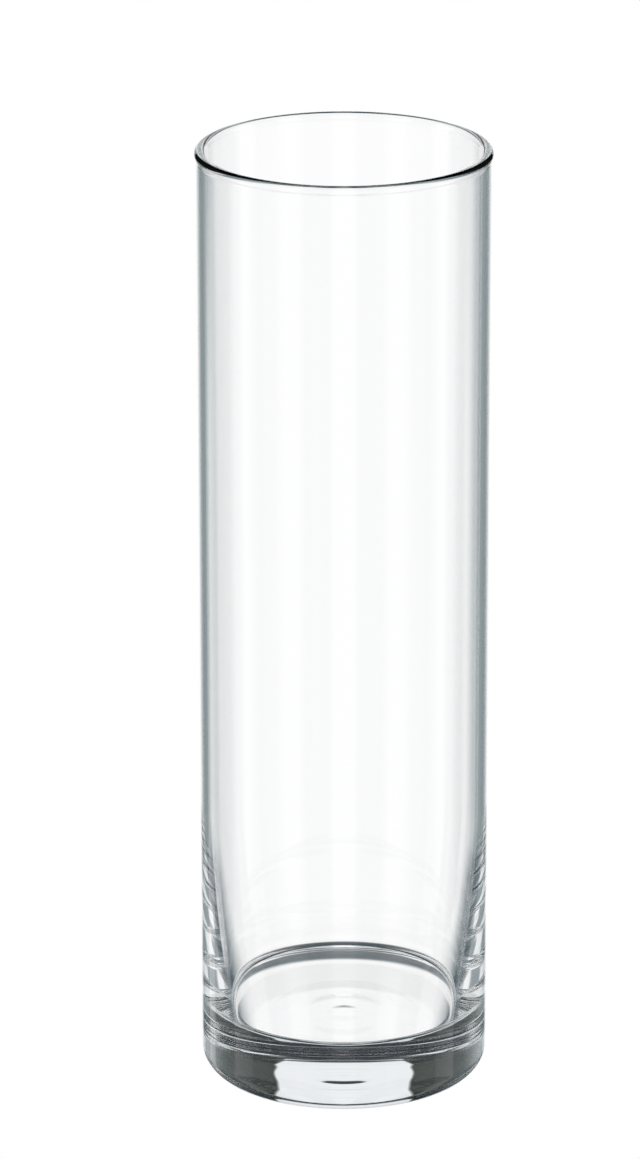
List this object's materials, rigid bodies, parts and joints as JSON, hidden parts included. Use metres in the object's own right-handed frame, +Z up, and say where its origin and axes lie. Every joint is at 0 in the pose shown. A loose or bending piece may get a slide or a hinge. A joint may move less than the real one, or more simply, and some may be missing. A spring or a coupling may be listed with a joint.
{
  "type": "glass cylinder vase",
  "caption": "Tall clear glass cylinder vase with a heavy solid base, a thickened heel and a fire-polished rim, for holding cut flowers upright in water.",
  "frame": {"origin": "centre of the standing ring, on the surface that the vase stands on", "axes": "+Z up along the vase's axis, from the base to the mouth; the vase is round, so +X and +Y are any two level directions"},
  "size_m": [0.091, 0.091, 0.3],
  "materials": {
    "clear_glass": "clear colourless polished soda-lime glass with a faint cool cast at its edges"
  },
  "bodies": {
    "root": {"solid_base": "clear_glass", "heel": "clear_glass", "cylinder_wall": "clear_glass", "rim_bead": "clear_glass"}
  },
  "joints": []
}
